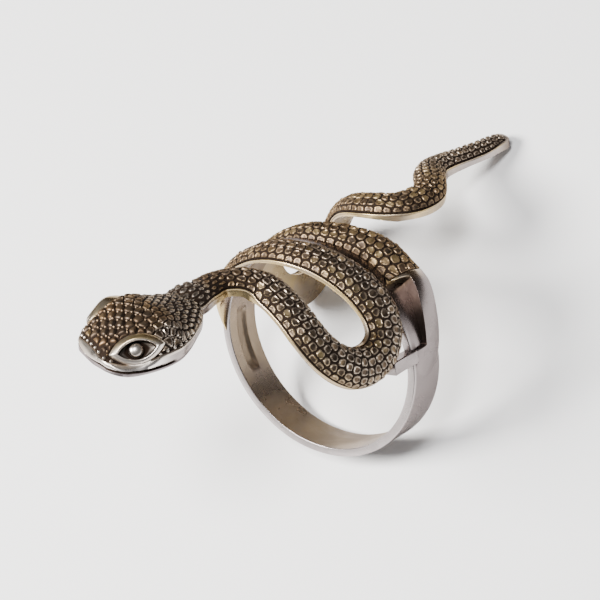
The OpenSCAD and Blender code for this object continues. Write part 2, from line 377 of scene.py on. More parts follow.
def add_tube(name, points, finishes, sharp, picks=None, flip=False, closed=False, **marks):
    """A smooth-shaded piece from rings of points round the finger.

    An open tube gets a fan over each end, and a closed one goes on from its last ring to
    its first. picks has the number of a finish for each quad, sharp is the angle of the
    edges that stay sharp, flip turns the faces over, and marks become point attributes.
    """
    rings, around = points.shape[:2]
    i, j = np.meshgrid(np.arange(rings if closed else rings - 1), np.arange(around), indexing="ij")
    here, after, beside = i * around, (i + 1) % rings * around, (j + 1) % around
    quads = np.stack([here + j, here + beside, after + beside, after + j], -1)
    faces = quads.reshape(-1, 4).tolist()
    layers = [points.reshape(-1, 3)]
    layers += [np.broadcast_to(values, (rings, around)).ravel() for values in marks.values()]
    if not closed:
        last, middle = (rings - 1) * around, rings * around
        ends = [(k, (k + 1) % around) for k in range(around)]
        faces += [(middle, b, a) for a, b in ends]
        faces += [(middle + 1, last + a, last + b) for a, b in ends]
        layers = [with_middles(values, around) for values in layers]
    if flip:
        faces = [face[::-1] for face in faces]

    mesh = bpy.data.meshes.new(name)
    mesh.from_pydata(at_rest(layers[0]).tolist(), [], faces, shade_flat=False)
    for finish in finishes:
        mesh.materials.append(finish)
    if picks is not None:
        index = np.zeros(len(faces), np.int32)
        index[:picks.size] = picks.ravel()
        mesh.polygons.foreach_set("material_index", index)
    if mesh.validate():
        raise RuntimeError(f"{name} has faces that Blender had to mend")
    mesh.set_sharp_from_angle(angle=math.radians(sharp))
    for mark, values in zip(marks, layers[1:]):
        layer = mesh.attributes.new(mark, "FLOAT", "POINT")
        layer.data.foreach_set("value", values.astype(np.float32))
    piece = bpy.data.objects.new(name, mesh)
    bpy.context.scene.collection.objects.link(piece)
    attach(piece, BODY)
    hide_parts(NODE)


# Scales


def scale_column(line, pitch, keep, odd, rng, wobble):
    """Middles of one column of scales, at even steps along its own line of points."""
    gaps = np.linalg.norm(np.diff(line, axis=0), axis=1)
    count = np.concatenate([[0], np.cumsum(gaps / ((pitch[1:] + pitch[:-1]) / 2))])
    at = np.arange(int(count[-1]) + 1) + 0.5 * odd
    at = at[at < count[-1]] + rng.uniform(-wobble, wobble, (at < count[-1]).sum())
    places = np.stack([np.interp(at, count, column) for column in line.T], 1)
    ring = np.clip(np.interp(at, count, np.arange(len(line))).astype(int), 0, len(line) - 1)
    return places[keep[ring]]


def nearest_of(centres):
    """A tree that finds the middles nearest to a point."""
    tree = KDTree(len(centres))
    for k, centre in enumerate(centres):
        tree.insert(centre, k)
    tree.balance()
    return tree


def cell_edges(points, centres, rounding):
    """For each point: distance to the nearest scale's edge, how near a corner of three
    scales it is, and that scale's number."""
    tree = nearest_of(centres)
    near, far = np.zeros((len(points), 3), int), np.zeros((len(points), 3))
    for k, p in enumerate(points):
        for m, (_, index, distance) in enumerate(tree.find_n(p, 3)):
            near[k, m], far[k, m] = index, distance
    edges = []
    for m in (1, 2):
        apart = np.linalg.norm(centres[near[:, 0]] - centres[near[:, m]], axis=1)
        edges.append((far[:, m] ** 2 - far[:, 0] ** 2) / (2 * np.maximum(apart, 1e-6)))
    soft = -rounding * np.log(np.exp(-edges[0] / rounding) + np.exp(-edges[1] / rounding))
    return np.maximum(soft, 0), far[:, 2] - far[:, 0], near[:, 0]


def leaning(points, centres, owner, rng, amount):
    """Small random lean of each scale, as a height over the points it owns."""
    lean = rng.normal(0, amount, centres.shape)
    return ((points - centres[owner]) * lean[owner]).sum(1)


def relax(points, centres, times):
    """Moves each middle to the mean of the points that are nearest to it."""
    for _ in range(times):
        tree = nearest_of(centres)
        owner = np.array([tree.find(p)[1] for p in points])
        total = np.zeros_like(centres)
        np.add.at(total, owner, points)
        n = np.bincount(owner, minlength=len(centres))[:, None]
        centres = np.where(n > 0, total / np.maximum(n, 1), centres)
    return centres


def dished(edge, groove):
    """Height share of a scale with a thin rim and a dished middle, and its rim."""
    shoulder, dish = 0.115, 0.20
    rise = smooth(edge, groove, shoulder)
    middle = smooth(edge, shoulder, dish)
    return rise * (1 - 0.42 * middle), rise * (1 - middle)


def domed(edge, groove, shoulder):
    """Height share of a rounded pebble, and its crest."""
    t = np.clip((edge - groove) / (shoulder - groove), 0, 1)
    return np.sqrt(np.clip(1 - (1 - t) ** 2, 0, 1)), smooth(t, 0.35, 1.0)


# Materials


class Nodes:
    """Short ways to add and join the nodes of one tree."""

    def __init__(self, tree):
        self.tree = tree

    def feed(self, inputs, values):
        """Joins inputs to other sockets, or gives them a number, colour or vector."""
        for key, value in values.items():
            if isinstance(value, bpy.types.NodeSocket):
                self.tree.links.new(value, inputs[key])
            elif isinstance(value, (int, float)):
                inputs[key].default_value = value
            else:
                size = len(inputs[key].default_value)
                inputs[key].default_value = (*value, 1)[:size]

    def add(self, kind, inputs=None, **settings):
        """A new node with its settings and inputs, to the right of the last one."""
        made = self.tree.nodes.new(kind)
        made.location.x = 180 * len(self.tree.nodes)
        for key, value in settings.items():
            setattr(made, key, value)
        self.feed(made.inputs, inputs or {})
        return made

    def math(self, operation, a, b, clamp=False):
        made = self.add("ShaderNodeMath", {0: a, 1: b}, operation=operation, use_clamp=clamp)
        return made.outputs[0]

    def times(self, a, b):
        return self.math("MULTIPLY", a, b)

    def plus(self, *terms):
        """Sum of two or more terms."""
        total = terms[0]
        for term in terms[1:]:
            total = self.math("ADD", total, term)
        return total

    def minus(self, a, b):
        return self.math("SUBTRACT", a, b)

    def mix(self, share, a, b):
        """Colour a, going over to b with the share (sockets 0, 6 and 7 are those of a
        colour mix, and 2 is its result)."""
        return self.add("ShaderNodeMix", {0: share, 6: a, 7: b}, data_type="RGBA").outputs[2]

    def mark(self, name):
        """A mark of the piece, 0 where it has none of that name."""
        return self.add("ShaderNodeAttribute", attribute_name=name).outputs["Fac"]

    def noise(self, scale, detail, roughness, distortion=0.0, squeeze=None):
        place = self.add("ShaderNodeTexCoord").outputs["Object"]
        if squeeze:
            squeezing = self.add("ShaderNodeMapping", {"Vector": place, "Scale": squeeze})
            place = squeezing.outputs["Vector"]
        return self.add("ShaderNodeTexNoise", {
            "Vector": place, "Scale": scale, "Detail": detail, "Roughness": roughness,
            "Distortion": distortion}).outputs["Fac"]

    def ramp(self, value, low, high):
        """Eases from 0 at low to 1 at high."""
        return self.add("ShaderNodeMapRange", {"Value": value, "From Min": low, "From Max": high},
                        interpolation_type="SMOOTHSTEP").outputs["Result"]

    def bump(self, height, strength, distance):
        return self.add("ShaderNodeBump", {
            "Height": height, "Strength": strength, "Distance": distance}).outputs["Normal"]

    def group(self, tree, **inputs):
        return self.add("ShaderNodeGroup", inputs, node_tree=tree).outputs


def new_group(name, inputs, outputs):
    """Nodes and inputs of a shader node group with named number sockets."""
    group = bpy.data.node_groups.new(name, "ShaderNodeTree")
    for label, default in inputs.items():
        socket = group.interface.new_socket(label, in_out="INPUT", socket_type="NodeSocketFloat")
        socket.default_value = default
    for label in outputs:
        group.interface.new_socket(label, in_out="OUTPUT", socket_type="NodeSocketFloat")
    n = Nodes(group)
    return n, n.add("NodeGroupInput").outputs


def wear_group():
    """Handling marks on silver: cloudy tarnish, small dark specks, and fine scratches."""
    found = bpy.data.node_groups.get("Silver wear")
    if found:
        return found
    n, given = new_group("Silver wear", {"Cloud Scale": 260.0, "Speck Scale": 900.0},
                         ("Clouds", "Specks", "Scratches"))
    clouds = n.noise(given["Cloud Scale"], 5, 0.62, 0.4)
    specks = n.noise(given["Speck Scale"], 3, 0.55)
    one = n.noise(700, 3, 0.7, squeeze=(1.0, 14.0, 1.0))
    two = n.noise(700, 3, 0.7, squeeze=(12.0, 1.0, 3.0))
    n.add("NodeGroupOutput", {
        "Clouds": n.ramp(clouds, 0.38, 0.68), "Specks": n.ramp(specks, 0.66, 0.74),
        "Scratches": n.plus(n.times(one, 0.5), n.times(two, 0.5))})
    return n.tree


def oxide_and_shade_group():
    """Oxide that stays in low places, and painted shade where a piece lowers its raised mark: reads
    how raised a point is, broken up by noise.
    """
    found = bpy.data.node_groups.get("Groove oxide and shade")
    if found:
        return found
    n, given = new_group("Groove oxide and shade", {"Spread": 0.35}, ("Dark",))
    uneven = n.times(n.minus(n.noise(1500, 4, 0.6), 0.5), given["Spread"])
    low = n.math("SUBTRACT", 1.0, n.plus(n.mark("raised"), uneven), clamp=True)
    n.add("NodeGroupOutput", {"Dark": n.ramp(low, 0.12, 0.8)})
    return n.tree


def start_material(name):
    """A new material, its nodes and its shader's inputs."""
    material = bpy.data.materials.new(name)
    material.use_nodes = True
    tree = material.node_tree
    return material, Nodes(tree), tree.nodes["Principled BSDF"].inputs


def polished_silver(name):
    """Polished cast silver with soft tarnish, brown where a piece is marked for it (partly patina,
    partly painted reflection), darker dull silver where marked (painted shade on the band, the
    body's sides, the shoulder and the lip), golden where marked, dark crevices of oxide and
    painted shade, specks and fine scratches."""
    found = bpy.data.materials.get(name)
    if found:
        return found
    tone, rough, tarnish, gold = FINISHES[name]
    colours = finish_colours()
    material, n, shader = start_material(name)
    wear, dark = n.group(wear_group()), n.group(oxide_and_shade_group(), Spread=0.2)["Dark"]
    bright = [c * t for c, t in zip(colours.bright, tone)]
    colour = n.mix(n.times(wear["Clouds"], tarnish), bright, [c * 0.5 for c in bright])
    colour = n.mix(n.mark("dull"), colour, colours.dull)
    colour = n.mix(n.mark("brown"), colour, colours.brown)
    patches = n.ramp(n.noise(190, 4, 0.6, 0.3), 0.38, 0.62)
    uneven = n.plus(n.times(patches, 0.6), 0.4)
    tint = n.math("MULTIPLY", uneven, n.plus(n.mark("gold"), gold), clamp=True)
    colour = n.mix(tint, colour, colours.gold)
    colour = n.mix(n.times(wear["Specks"], 0.45), colour, SPECK_COLOUR)
    n.feed(shader, {
        "Base Color": n.mix(dark, colour, colours.oxide), "Metallic": 1.0,
        "Specular Tint": (0.72, 0.68, 0.67),
        "Roughness": n.plus(n.times(wear["Clouds"], 0.16), rough, n.times(dark, 0.35)),
        "Normal": n.bump(wear["Scratches"], 0.25, 0.00002)})
    return material


def scaled_silver():
    """Oxidised silver scales: dark grooves, thin bright rims, grey, brown and gold middles, the
    brown partly patina and partly painted reflection.
    """
    name = "Scaled silver"
    found = bpy.data.materials.get(name)
    if found:
        return found
    colours = finish_colours()
    material, n, shader = start_material(name)
    dark = n.group(oxide_and_shade_group(), Spread=0.3)["Dark"]
    wear = n.group(wear_group(), **{"Cloud Scale": 520.0, "Speck Scale": 2400.0})
    tone, brown, gold = (n.mark(key) for key in ("tone", "brown", "gold"))
    middle = n.mix(brown, colours.pad, colours.brown)
    # Darker middles: tone at random, and painted shade on the scales near the dome's edges
    middle = n.mix(n.ramp(tone, 0.9, 0.1), middle, DARK_PAD)
    some = n.ramp(n.plus(tone, n.times(gold, 0.5)), 0.85, 1.45)
    middle = n.mix(n.times(some, 0.75), middle, colours.gold)
    middle = n.mix(n.times(wear["Clouds"], 0.5), middle, CLOUDED_PAD)
    edge = n.mix(n.times(gold, 0.7), RIM, GILT_RIM)
    edge = n.mix(n.times(brown, 0.75), edge, BROWN_RIM)
    colour = n.mix(n.times(n.mark("rim"), 0.9), middle, edge)
    n.feed(shader, {
        "Base Color": n.mix(dark, colour, colours.oxide),
        "Metallic": n.minus(1.0, n.times(dark, 0.9)),
        "Specular IOR Level": 0.2, "Specular Tint": (0.6, 0.52, 0.44),
        "Roughness": n.plus(0.22, n.times(dark, 0.45), n.times(brown, 0.2),
                            n.times(wear["Clouds"], 0.12)),
        "Normal": n.bump(wear["Specks"], 0.3, 0.00003)})
    return material


# The snake's body


def body_piece(name, rows, zones, tints, step, seed, hollow=None, round_end=0):
    """One run of the body: a flat underside, polished sides and a dome worked in scales.

    zones has (columns, pitch, mask of rings, times relaxed) for each way of laying the
    scales, tints gives brown, gold and dull shares (brown partly painted reflection, dull partly
    painted shade), hollow gives the depth of a channel in the left side and its painted shade,
    and round_end is the length of a rounded tip.
    """
    relief, finger = sizes().relief / MM, sizes().finger / MM + CLEARANCE
    curve = through_rows(rows)
    angle, along, radius, _, tall, _ = curve.T
    line, ways = evenly(curve, on_finger(angle, along, radius + 0.7 * tall), step)
    angle, along, radius, wide, tall, scaled = line.T
    # Scales lie on the scaled rings, and on the tail to just short of its tip
    keep = (scaled > 0.5) | ((along > 20) & (ways < ways[-1] - 0.75))
    scaled = np.clip(scaled, 0, 1)
    under = on_finger(angle, along, radius)
    ahead = unit(np.gradient(under, axis=0))
    out = on_finger(angle, along * 0, np.ones(len(line)))
    up = unit(out - (out * ahead).sum(1, keepdims=True) * ahead)
    across = np.cross(ahead, up)
    if round_end:
        left = np.clip((ways[-1] - ways) / round_end, 0.02, 1)
        shrink = np.sqrt(1 - (1 - left) ** 2)
        under = under + 0.5 * ((1 - shrink) * tall)[:, None] * up
        wide, tall = wide * shrink, tall * shrink
    half = wide[:, None] / 2
    side = ((PLAIN_SHARE + (SIDE_SHARE - PLAIN_SHARE) * scaled) * tall)[:, None]
    dome = tall[:, None] - side

    # Places sideways (a) and above the underside (z), each part of the outline in turn,
    # anticlockwise seen from in front of the body
    flat = np.linspace(-1, 1, UNDER_POINTS, endpoint=False)
    angles = np.linspace(0, np.pi, DOME_POINTS)
    cos, sin = np.cos(angles), np.sin(angles)
    rise, proud, ledge_raised, ledge_gold = LEDGE.T
    proud = proud * smooth(scaled, 0.0, 0.6)[:, None]
    inset = relief * keep[:, None] * sin.clip(0, 1) ** 0.15
    a = np.concatenate([half * flat, half + proud, (half - inset) * cos, -half - proud[:, ::-1]], 1)
    z = np.concatenate([half * flat * 0, side * rise, side + (dome - inset) * sin,
                        side * rise[::-1]], 1)
    cut_in, shade = (0 * a, 0) if hollow is None else hollow(line, a, z)
    a = a + cut_in
    points = under[:, None] + a[..., None] * across[:, None] + z[..., None] * up[:, None]
    top = points[:, DOME]
    push = cos[:, None] * across[:, None] + sin[:, None] * up[:, None]
    lifted = top + inset[..., None] * push

    rng = np.random.default_rng(seed)
    centres = []
    for columns, pitch, ringed, times in zones(line, ways):
        ringed = keep & ringed
        laid = []
        for c in range(columns):
            at = int(round((c + 0.5) / columns * (DOME_POINTS - 1)))
            laid.append(scale_column(lifted[:, at], pitch, ringed, c % 2, rng, wobble=0.2))
        laid = squeezed(np.concatenate(laid))
        laid = laid + rng.normal(0, 0.05, laid.shape)
        coarse = squeezed(lifted[::3, ::3][ringed[::3]].reshape(-1, 3))
        centres.append(relax(coarse, laid, times))
    centres = np.concatenate(centres)
    laid_out = squeezed(lifted.reshape(-1, 3))
    edge, _, owner = cell_edges(laid_out, centres, rounding=0.09)
    lean = leaning(laid_out, centres, owner, rng, amount=0.07)
    edge, owner, lean = (values.reshape(inset.shape) for values in (edge, owner, lean))
    arc = gone_by(lifted)
    border = np.minimum(arc, arc[:, -1:] - arc)
    edge = np.minimum(edge, border - 0.02)
    for c in np.nonzero(np.diff(keep.astype(int)))[0]:
        edge = np.minimum(edge, np.abs(ways[:, None] - ways[c] - step / 2))
    height, crest = dished(edge, groove=0.045)
    tones = rng.uniform(0, 1, len(centres))
    inward = smooth(border, 0.2, 0.8)

    on_scales = keep[:, None]
    height = np.where(on_scales, height + (lean / relief) * smooth(edge, 0.05, 0.13), 1.0)
    points[:, DOME] = top + (inset * height)[..., None] * push
    # The ends of the arches keep outside the recess of the band too
    in_recess = smooth(angle, 158, 168) * (along < 2)
    points = clear_of_finger(points, finger + 0.32 * in_recess[:, None])

    raised, rim = np.ones(a.shape), np.ones(a.shape)
    gilt, tone = np.zeros(a.shape), np.zeros(a.shape)
    has_ledge = (scaled * keep)[:, None]
    for part, order in ((RIGHT_SIDE, 1), (LEFT_SIDE, -1)):
        raised[:, part] = 1 - (1 - ledge_raised[::order]) * has_ledge
        gilt[:, part] = ledge_gold[::order] * has_ledge
    raised[:, DOME] = np.where(on_scales, np.clip(height * 1.25, 0, 1), 1.0)
    # Scales near the dome's edges get dimmer rims and darker middles: painted shade
    rim[:, DOME] = np.where(on_scales, crest * (0.6 + 0.4 * inward), 1.0)
    tone[:, DOME] = np.where(on_scales, tones[owner] * (0.5 + 0.5 * inward), 0.0)
    brown, gold, dull = tints(line, a, z)
    # Painted shade in the shoulder's channel: its walls get a lower raised mark and a brown tint,
    # and the face below it gets the shade that hollow gives
    in_channel = np.clip(cut_in / 0.5, 0, 1)
    raised = np.minimum(raised, 1 - np.maximum(0.42 * in_channel, shade))
    worked = np.zeros(a.shape, bool)
    worked[:, DOME] = on_scales
    picks = (worked & np.roll(worked, -1, 1))[:-1]
    add_tube(name, points, [polished_silver("Polished silver sides"), scaled_silver()], sharp=75,
             picks=picks, raised=raised, rim=rim, tone=tone,
             brown=np.where(worked, brown, 0.4 * in_channel), gold=np.clip(gold + gilt, 0, 1),
             dull=dull)


def front_zones(line, ways):
    """Narrow leaves on the neck, round scales on the rest."""
    neck = line[:, ALONG] < -12.4
    even = np.ones(len(ways))
    return (9, even, neck, 0), (6, 0.84 * even, ~neck, 1)


def rear_zones(line, ways):
    """Round scales that grow smaller and fewer towards the tip."""
    tip = ways > ways[-1] - 7.5
    small = 0.84 - 0.2 * smooth(ways, ways[-1] - 14, ways[-1])
    return (6, small, ~tip, 1), (5, small, tip, 1)


def front_tints(line, a, z):
    """Brown, gold and dull shares: brown on the neck and the crossing, partly patina and partly
    painted reflection of the upper side, grey at the nape and round the loop, gold along the inner
    sides of the loop and the arch, and painted shade as dull silver on the right sides and low down."""
    y, angle = line[:, ALONG, None], line[:, ANGLE, None]
    brown = 0.25 + 0.65 * smooth(angle, 55, 105) + 0.3 * smooth(-y, 10, 15)
    inner = smooth(a, 0.4, 1.3) * smooth(-y, 6, 9) + smooth(-a, 0.4, 1.3) * (1 - smooth(-y, 5, 7))
    # Painted shade: dull silver on the right side of the front and low down on the sides, and on the
    # right side of the arch
    dull = 0.35 * smooth(a, 0.8, 1.3) * smooth(-y, 4, 7) + 0.3 * (1 - smooth(z, 0.2, 0.6))
    dull = np.maximum(dull, 0.9 * smooth(a, 1.0, 1.35) * smooth(angle, 50, 65) * (y > -6))
    grey = 0.85 * smooth(-y, 13.8, 15.6)
    gold = np.clip(0.2 + 0.8 * inner, 0, 1) * (1 - grey)
    return np.clip(brown, 0, 1) * (1 - grey), gold, dull


def rear_tints(line, a, z):
    """Brown, gold and dull shares: brown, partly patina and partly painted reflection, and gold on
    the arch and the tail's first stretch, gold in the channel of the shoulder, painted shade as
    dull silver on the shoulder, and dull silver at the tail's tip."""
    y, angle = line[:, ALONG, None], line[:, ANGLE, None]
    brown = 0.85 - 0.45 * smooth(y, 11, 17)
    arch = smooth(angle, 44, 54) * (0.85 - 0.7 * smooth(y, 12, 17))
    front = smooth(-a, 1.1, 1.4) * smooth(angle, 18, 24)
    # Painted shade: the shoulder's outer face is darkened as dull silver
    shoulder = 0.75 * (1 - smooth(angle, 46, 52)) * (y < 3)
    end = 0.8 * smooth(y, 23.5, 25.5) + 0.25 * smooth(y, 4, 8)
    gold, dull = np.maximum(arch, front), shoulder + end
    return np.clip(brown, 0, 1), np.clip(gold, 0, 1), np.clip(dull, 0, 1)


def shoulder_channel(line, a, z):
    """How far the front edge of the right shoulder is cut back, to an open channel with
    the outer wall left standing behind it, and the shade on the face below it."""
    y, angle = line[:, ALONG, None], line[:, ANGLE, None]
    reach = smooth(angle, 15.5, 17.0) * (1 - smooth(angle, 47.5, 49.5)) * (y < 3)
    shade = 0.65 * reach * (1 - smooth(z, 0.22, 0.30)) * smooth(-a, 0.8, 1.2)
    return reach * smooth(z, 0.36, 0.46) * np.maximum(-0.3 - a, 0), shade


class SNAKERING_OT_front_body(bpy.types.Operator):
    """Neck, crossing, right loop and front arch"""

    bl_idname = "snake_ring.front_body"
    bl_label = "Front Body"

    def execute(self, context):
        body_piece("front_body", FRONT_ROWS, front_zones, front_tints, step=0.07, seed=11)
        return {"FINISHED"}


class SNAKERING_OT_rear_body(bpy.types.Operator):
    """Right shoulder, rear arch, left loop and tail"""

    bl_idname = "snake_ring.rear_body"
    bl_label = "Rear Body"

    def execute(self, context):
        body_piece("rear_body", REAR_ROWS, rear_zones, rear_tints, step=0.078, seed=23,
                   hollow=shoulder_channel, round_end=0.5)
        return {"FINISHED"}


# The head and the eyes


def eye_frame(way):
    """Matrix and origin of one eye, round the finger: x down the face of the eye, y
    along it towards the neck, z out of it. way is 1 for the right eye, -1 for the left."""
    head = rotation(2, -HEAD_TURN) @ np.diag([way, 1, 1])
    matrix = head @ (rotation(2, EYE_YAW) @ rotation(1, EYE_TILT) @ rotation(2, EYE_ROLL))
    origin = head @ np.array(EYE_PLACE) + np.array(HEAD_MIDDLE)
    return matrix, origin if way > 0 else origin + np.array(LEFT_EYE_SHIFT)


def almond_reach(direction_x, direction_y, length, height):
    """Distance from an almond's middle to its outline in each direction."""
    radius = (length ** 2 + height ** 2) / (4 * height)
    off = radius - height / 2
    size = np.maximum(np.hypot(direction_x, direction_y), 1e-9)
    x, y = np.abs(direction_x) / size, direction_y / size
    return -off * x + np.sqrt(np.maximum(radius ** 2 - (off * y) ** 2, 0))


def jaw_outline(half, mouth, lip, depth):
    """Points (sideways, height) up one side of the jaw, over the mouth line and on to the
    lip's edge. depth is the share of the mouth line's full depth."""
    size = min(1.0, half / 2.5)
    over = max(lip - mouth, 0.02)
    low = min(0.15 * size, 0.5 * mouth)
    high = min(0.10 * size, over)
    flat = min(1, (mouth - low) / 0.2)
    cut = 0.14 * depth * size
    side = -0.03 * size
    rows = [(x * size, y * flat) for x, y in
            ((-0.42, 0.0), (-0.26, 0.012), (-0.15, 0.045), (-0.08, 0.10), (-0.045, 0.17))]
    rows += [(side, mouth - low - 0.01), (side, mouth - low),
             (side - 0.35 * cut, mouth - 0.75 * low), (side - 0.8 * cut, mouth - 0.45 * low),
             (side - cut, mouth - 0.1 * low), (side - cut, mouth + 0.15 * high),
             (side - 0.85 * cut, mouth + 0.5 * high),
             (-0.02 * size - 0.4 * cut, mouth + 0.8 * high), (-0.012 * size, mouth + high),
             (-0.005 * size, mouth + 0.5 * (over + high)),
             (-0.001, mouth + 0.8 * over + 0.2 * high)]
    return [(half + x, y) for x, y in rows]


def head_outline(half, tall, mouth, lip, depth):
    """One ring of the head: its flat underside, the right jaw, the crown and the left jaw."""
    turn = np.linspace(0, np.pi, 500)
    x, z = half * np.cos(turn), lip + (tall - lip) * np.sin(turn) ** 0.8
    gone = np.concatenate([[0], np.cumsum(np.hypot(np.diff(x), np.diff(z)))])
    at = np.linspace(0, gone[-1], CROWN_POINTS)
    below = [(half * share, 0) for share in np.linspace(-0.80, 0.80, BELOW_POINTS + 2)[1:-1]]
    jaw = jaw_outline(half, mouth, lip, depth)
    crown = list(zip(np.interp(at, gone, x), np.interp(at, gone, z)))
    return below + jaw + crown + [(-sideways, high) for sideways, high in reversed(jaw)]


def squeezed(points):
    """Points with the neck's stretch pressed together along the finger, so that even
    cells laid there come out as long leaves."""
    out = np.array(points, float)
    y = out[..., 1]

    def beyond(start, end):
        t = np.clip((y - start) / (end - start), 0, 1)
        return (end - start) * (t ** 3 - t ** 4 / 2) + np.maximum(y - end, 0)

    out[..., 1] = y - 0.52 * (beyond(-21.0, -19.0) - beyond(-13.2, -12.0))
    return out


def drawn_to_eyes(points, above_mouth):
    """Moves of the skin to the foot of each eye's rim, where it dips under it, and how far
    each point is from the nearer almond."""
    length, height = sizes().eye_length / MM, sizes().eye_height / MM
    far = 9.0
    flat, eye_gap = points.reshape(-1, 3), np.full(above_mouth.size, far)
    moved = np.zeros_like(flat)
    for way, fade in ((-1, 1.6), (1, 0.85)):
        matrix, origin = eye_frame(way)
        x, y, z = ((flat - origin) @ matrix).T
        gap = np.where(z > -2.2, np.hypot(x, y) - almond_reach(x, y, length, height), far)
        eye_gap = np.minimum(eye_gap, gap)
        reach = (1 - smooth(gap, 0.0, fade)) * smooth(z, -1.3, -0.7)
        reach = reach * smooth(above_mouth.ravel(), 0.0, 0.3)
        target = -0.06 - 0.44 * (1 - smooth(gap, -0.42, -0.12))
        moved += ((target - z) * reach)[:, None] * matrix[:, 2]
    return moved.reshape(points.shape), eye_gap.reshape(above_mouth.shape)


def bead_row(top, scale_zone, eye_gap, ways):
    """Row of small beads just above the plain lip, as a height share over the crown."""
    out, apart, radius = 0.18, 0.66, 0.165
    line = top[(np.abs(scale_zone - out) < 0.03) & (eye_gap > 0.2) & (ways < 7.5)[:, None]]
    beads = []
    for place in line:
        if not beads or np.linalg.norm(np.array(beads) - place, axis=1).min() > apart:
            beads.append(place)
    near = (scale_zone > -0.1) & (scale_zone < out + 0.3)
    distance = np.min([np.linalg.norm(top[near] - bead, axis=1) for bead in beads], axis=0)
    heights = np.zeros(top.shape[:2])
    heights[near] = np.sqrt(np.clip(1 - (distance / radius) ** 2, 0, 1))
    return heights


